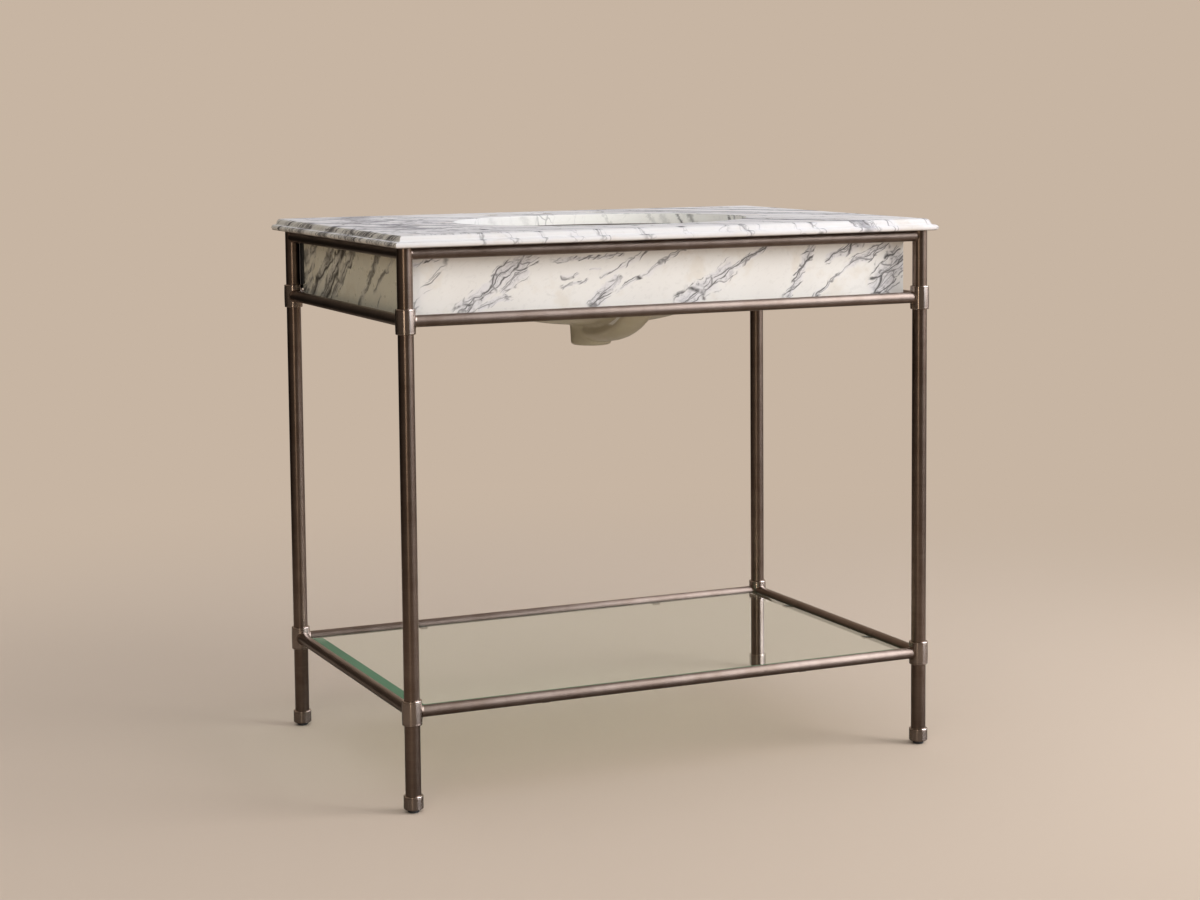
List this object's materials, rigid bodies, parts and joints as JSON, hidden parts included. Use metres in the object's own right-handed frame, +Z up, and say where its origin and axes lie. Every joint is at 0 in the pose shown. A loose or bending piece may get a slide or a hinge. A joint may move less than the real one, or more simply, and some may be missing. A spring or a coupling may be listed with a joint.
{
  "type": "washstand",
  "caption": "Washstand with a round-tube frame, a marble top and apron, an undermount oval basin, tap holes, a glass shelf and levelling feet.",
  "frame": {"origin": "on the floor under the middle of the marble top", "axes": "+X to the right along the front, +Y towards the wall, +Z up"},
  "size_m": [0.928, 0.642, 0.87],
  "materials": {
    "bronze": "brushed antique bronze with a clear lacquer",
    "marble": "polished white marble with grey and violet veins",
    "glaze": "white gloss glaze",
    "glass": "clear polished glass with a bevelled edge",
    "black_nylon": "moulded, slightly rough",
    "steel": "plain zinc-plated",
    "plain_brass": "plain machined",
    "dark_steel": "black satin",
    "sealant": "smooth sealant",
    "clear_cushion": "clear soft cushion"
  },
  "bodies": {
    "frame": {"foot_cap_front_left": "bronze", "foot_cap_front_right": "bronze", "foot_cap_rear_left": "bronze", "foot_cap_rear_right": "bronze", "lower_tube_front_left": "bronze", "lower_tube_front_right": "bronze", "lower_tube_rear_left": "bronze", "lower_tube_rear_right": "bronze", "middle_tube_front_left": "bronze", "middle_tube_front_right": "bronze", "middle_tube_rear_left": "bronze", "middle_tube_rear_right": "bronze", "upper_tube_front_left": "bronze", "upper_tube_front_right": "bronze", "upper_tube_rear_left": "bronze", "upper_tube_rear_right": "bronze", "shelf_collar_front_left": "bronze", "shelf_collar_front_right": "bronze", "shelf_collar_rear_left": "bronze", "shelf_collar_rear_right": "bronze", "apron_collar_front_left": "bronze", "apron_collar_front_right": "bronze", "apron_collar_rear_left": "bronze", "apron_collar_rear_right": "bronze", "shelf_rail_front": "bronze", "shelf_rail_rear": "bronze", "shelf_rail_left": "bronze", "shelf_rail_right": "bronze", "apron_rail_front": "bronze", "apron_rail_rear": "bronze", "apron_rail_left": "bronze", "apron_rail_right": "bronze", "top_rail_front": "bronze", "top_rail_rear": "bronze", "top_rail_left": "bronze", "top_rail_right": "bronze", "marble_top": "marble", "apron_panel_front": "marble", "apron_panel_left": "marble", "apron_panel_right": "marble", "basin": "glaze", "basin_seal": "sealant", "basin_clips": "plain_brass", "panel_brackets": "dark_steel", "fixing_screws": "steel", "fixing_inserts": "plain_brass", "glass_shelf": "glass", "shelf_tabs": "bronze", "shelf_cushions": "clear_cushion", "joining_spigots": "bronze", "leg_plugs": "bronze"},
    "foot_front_left": {"foot_pad_front_left": "black_nylon", "level_screw_front_left": "steel"},
    "foot_front_right": {"foot_pad_front_right": "black_nylon", "level_screw_front_right": "steel"},
    "foot_rear_left": {"foot_pad_rear_left": "black_nylon", "level_screw_rear_left": "steel"},
    "foot_rear_right": {"foot_pad_rear_right": "black_nylon", "level_screw_rear_right": "steel"}
  },
  "joints": [
    {"name": "level_front_left", "type": "slide", "parent": "frame", "child": "foot_front_left", "axis": [0, 0, -1], "range_m": [-0.003, 0.012]},
    {"name": "level_front_right", "type": "slide", "parent": "frame", "child": "foot_front_right", "axis": [0, 0, -1], "range_m": [-0.003, 0.012]},
    {"name": "level_rear_left", "type": "slide", "parent": "frame", "child": "foot_rear_left", "axis": [0, 0, -1], "range_m": [-0.003, 0.012]},
    {"name": "level_rear_right", "type": "slide", "parent": "frame", "child": "foot_rear_right", "axis": [0, 0, -1], "range_m": [-0.003, 0.012]}
  ]
}
